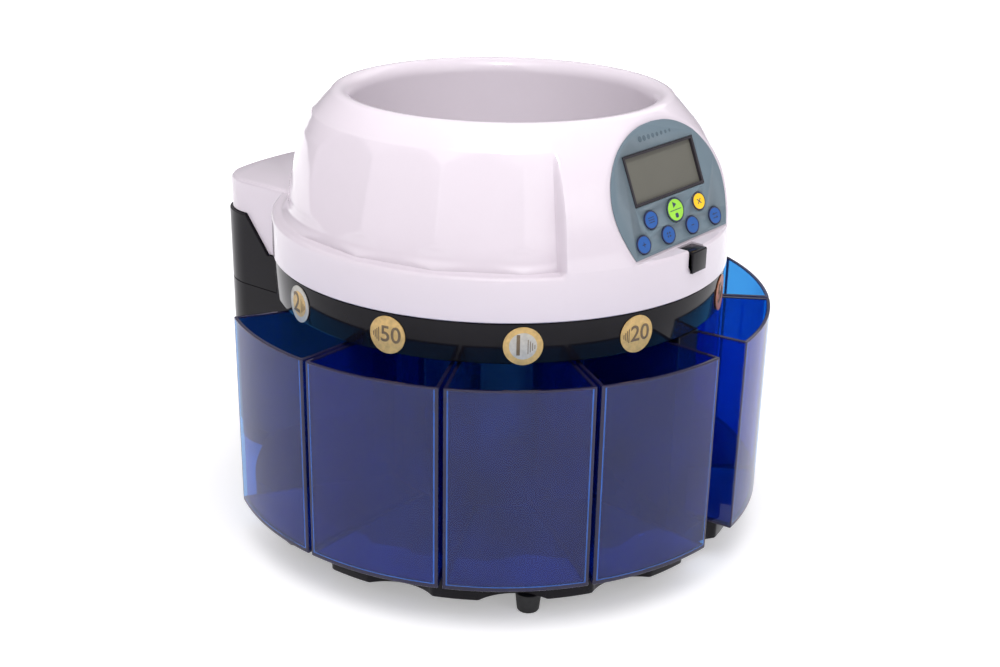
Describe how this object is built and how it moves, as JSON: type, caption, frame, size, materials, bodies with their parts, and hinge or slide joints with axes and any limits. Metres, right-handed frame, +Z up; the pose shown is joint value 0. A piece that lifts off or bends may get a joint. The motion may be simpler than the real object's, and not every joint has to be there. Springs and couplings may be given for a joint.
{
  "type": "coin sorting machine",
  "caption": "Desktop coin sorter: a hopper in a hinged domed cover feeds a turning disc, which drops coins by size into pull-out cups around a round base.",
  "frame": {"origin": "centre of the bounding box's bottom face, on the plane that the feet stand on", "axes": "+Z up, -Y towards the control panel at the front, +X to the right of someone facing the panel"},
  "size_m": [0.33, 0.3538, 0.266],
  "materials": {
    "white_abs": "smooth, fairly glossy lavender-white moulding",
    "black_abs": "high gloss black moulding",
    "cup_blue": "clear blue plastic",
    "label_grey": "printed overlay, satin",
    "display_glass": "clear window over an olive-grey display",
    "key_blue": "satin",
    "key_green": "satin",
    "key_yellow": "satin",
    "circuit_board": "green solder mask",
    "rubber": "matt black",
    "steel": "plated, brushed",
    "brass": "machined",
    "coin_gold": "printed picture of a gold-coloured coin",
    "coin_silver": "printed picture of a two-coloured coin",
    "coin_copper": "printed picture of a copper-coloured coin",
    "grey_abs": "satin",
    "gear_white": "moulded acetal"
  },
  "bodies": {
    "base": {"base_plate": "black_abs", "foot_front_left": "rubber", "foot_front_right": "rubber", "foot_rear_left": "rubber", "foot_rear_right": "rubber", "rear_housing": "black_abs", "front_pillar": "black_abs", "drum_housing": "black_abs", "sorting_rail": "steel", "coin_label_1": "coin_silver", "coin_label_2": "coin_gold", "coin_label_3": "coin_gold", "coin_label_4": "coin_gold", "coin_label_5": "coin_copper", "coin_label_6": "coin_gold", "coin_label_7": "coin_copper", "coin_label_8": "coin_copper", "drive_frame": "steel", "shaft_bearing": "brass", "drive_motor": "steel", "sensor_board": "circuit_board", "transformer": "steel", "main_board": "circuit_board", "rear_panel": "grey_abs", "power_inlet": "black_abs", "data_port": "black_abs", "switch_body": "black_abs", "hinge_arm_left": "steel", "hinge_arm_right": "steel"},
    "cover": {"top_cover": "white_abs", "hinge_pin_left": "steel", "hinge_pin_right": "steel", "panel_label": "label_grey", "display_window": "display_glass", "display_module": "grey_abs", "key_mat": "rubber", "control_board": "circuit_board"},
    "latch": {"cover_latch": "black_abs"},
    "disc": {"sorting_disc": "grey_abs", "disc_hub": "rubber", "drive_shaft": "steel", "drive_gear": "gear_white"},
    "pinion": {"motor_pinion": "brass"},
    "rocker": {"power_rocker": "black_abs"},
    "button_plus": {"button_plus": "key_blue"},
    "button_batch": {"button_batch": "key_blue"},
    "button_minus": {"button_minus": "key_blue"},
    "button_set": {"button_set": "key_blue"},
    "button_report": {"button_report": "key_blue"},
    "button_start_stop": {"button_start_stop": "key_green"},
    "button_clear": {"button_clear": "key_yellow"},
    "cup_1": {"coin_cup_1": "cup_blue"},
    "cup_2": {"coin_cup_2": "cup_blue"},
    "cup_3": {"coin_cup_3": "cup_blue"},
    "cup_4": {"coin_cup_4": "cup_blue"},
    "cup_5": {"coin_cup_5": "cup_blue"},
    "cup_6": {"coin_cup_6": "cup_blue"},
    "cup_7": {"coin_cup_7": "cup_blue"},
    "cup_8": {"coin_cup_8": "cup_blue"}
  },
  "joints": [
    {"name": "cover_hinge", "type": "hinge", "parent": "base", "child": "cover", "pos_m": [0, 0.16893, 0.186], "axis": [-1, 0, 0], "range_deg": [0, 60]},
    {"name": "latch_pull", "type": "slide", "parent": "cover", "child": "latch", "axis": [0, -1, 0], "range_m": [0, 0.0024], "stiffness_N_per_m": 400},
    {"name": "disc_spin", "type": "hinge", "parent": "base", "child": "disc", "pos_m": [0, -0.01257, 0.16], "axis": [0, 0, 1], "continuous": true},
    {"name": "pinion_spin", "type": "hinge", "parent": "base", "child": "pinion", "pos_m": [-0.03625, -0.01257, 0.137], "axis": [0, 0, 1], "continuous": true},
    {"name": "power_rock", "type": "hinge", "parent": "base", "child": "rocker", "pos_m": [0.0115, 0.17023, 0.07], "axis": [1, 0, 0], "range_deg": [0, 18]},
    {"name": "press_plus", "type": "slide", "parent": "cover", "child": "button_plus", "axis": [0, 0.9285, -0.3714], "range_m": [0, 0.0006], "stiffness_N_per_m": 300},
    {"name": "press_batch", "type": "slide", "parent": "cover", "child": "button_batch", "axis": [0, 0.9285, -0.3714], "range_m": [0, 0.0006], "stiffness_N_per_m": 300},
    {"name": "press_minus", "type": "slide", "parent": "cover", "child": "button_minus", "axis": [0, 0.9285, -0.3714], "range_m": [0, 0.0006], "stiffness_N_per_m": 300},
    {"name": "press_set", "type": "slide", "parent": "cover", "child": "button_set", "axis": [0, 0.9285, -0.3714], "range_m": [0, 0.0006], "stiffness_N_per_m": 300},
    {"name": "press_report", "type": "slide", "parent": "cover", "child": "button_report", "axis": [0, 0.9285, -0.3714], "range_m": [0, 0.0006], "stiffness_N_per_m": 300},
    {"name": "press_start_stop", "type": "slide", "parent": "cover", "child": "button_start_stop", "axis": [0, 0.9285, -0.3714], "range_m": [0, 0.0006], "stiffness_N_per_m": 300},
    {"name": "press_clear", "type": "slide", "parent": "cover", "child": "button_clear", "axis": [0, 0.9285, -0.3714], "range_m": [0, 0.0006], "stiffness_N_per_m": 300},
    {"name": "cup_1_slide", "type": "slide", "parent": "base", "child": "cup_1", "axis": [-0.9641, 0.2654, 0], "range_m": [0, 0.11]},
    {"name": "cup_2_slide", "type": "slide", "parent": "base", "child": "cup_2", "axis": [-0.9728, -0.2316, 0], "range_m": [0, 0.11]},
    {"name": "cup_3_slide", "type": "slide", "parent": "base", "child": "cup_3", "axis": [-0.7412, -0.6713, 0], "range_m": [0, 0.11]},
    {"name": "cup_4_slide", "type": "slide", "parent": "base", "child": "cup_4", "axis": [-0.3264, -0.9452, 0], "range_m": [0, 0.11]},
    {"name": "cup_5_slide", "type": "slide", "parent": "base", "child": "cup_5", "axis": [0.3264, -0.9452, 0], "range_m": [0, 0.11]},
    {"name": "cup_6_slide", "type": "slide", "parent": "base", "child": "cup_6", "axis": [0.7412, -0.6713, 0], "range_m": [0, 0.11]},
    {"name": "cup_7_slide", "type": "slide", "parent": "base", "child": "cup_7", "axis": [0.9728, -0.2316, 0], "range_m": [0, 0.11]},
    {"name": "cup_8_slide", "type": "slide", "parent": "base", "child": "cup_8", "axis": [0.9641, 0.2654, 0], "range_m": [0, 0.11]}
  ],
  "couplings": [
    {"joint": "pinion_spin", "follows": "disc_spin", "ratio": -3}
  ]
}
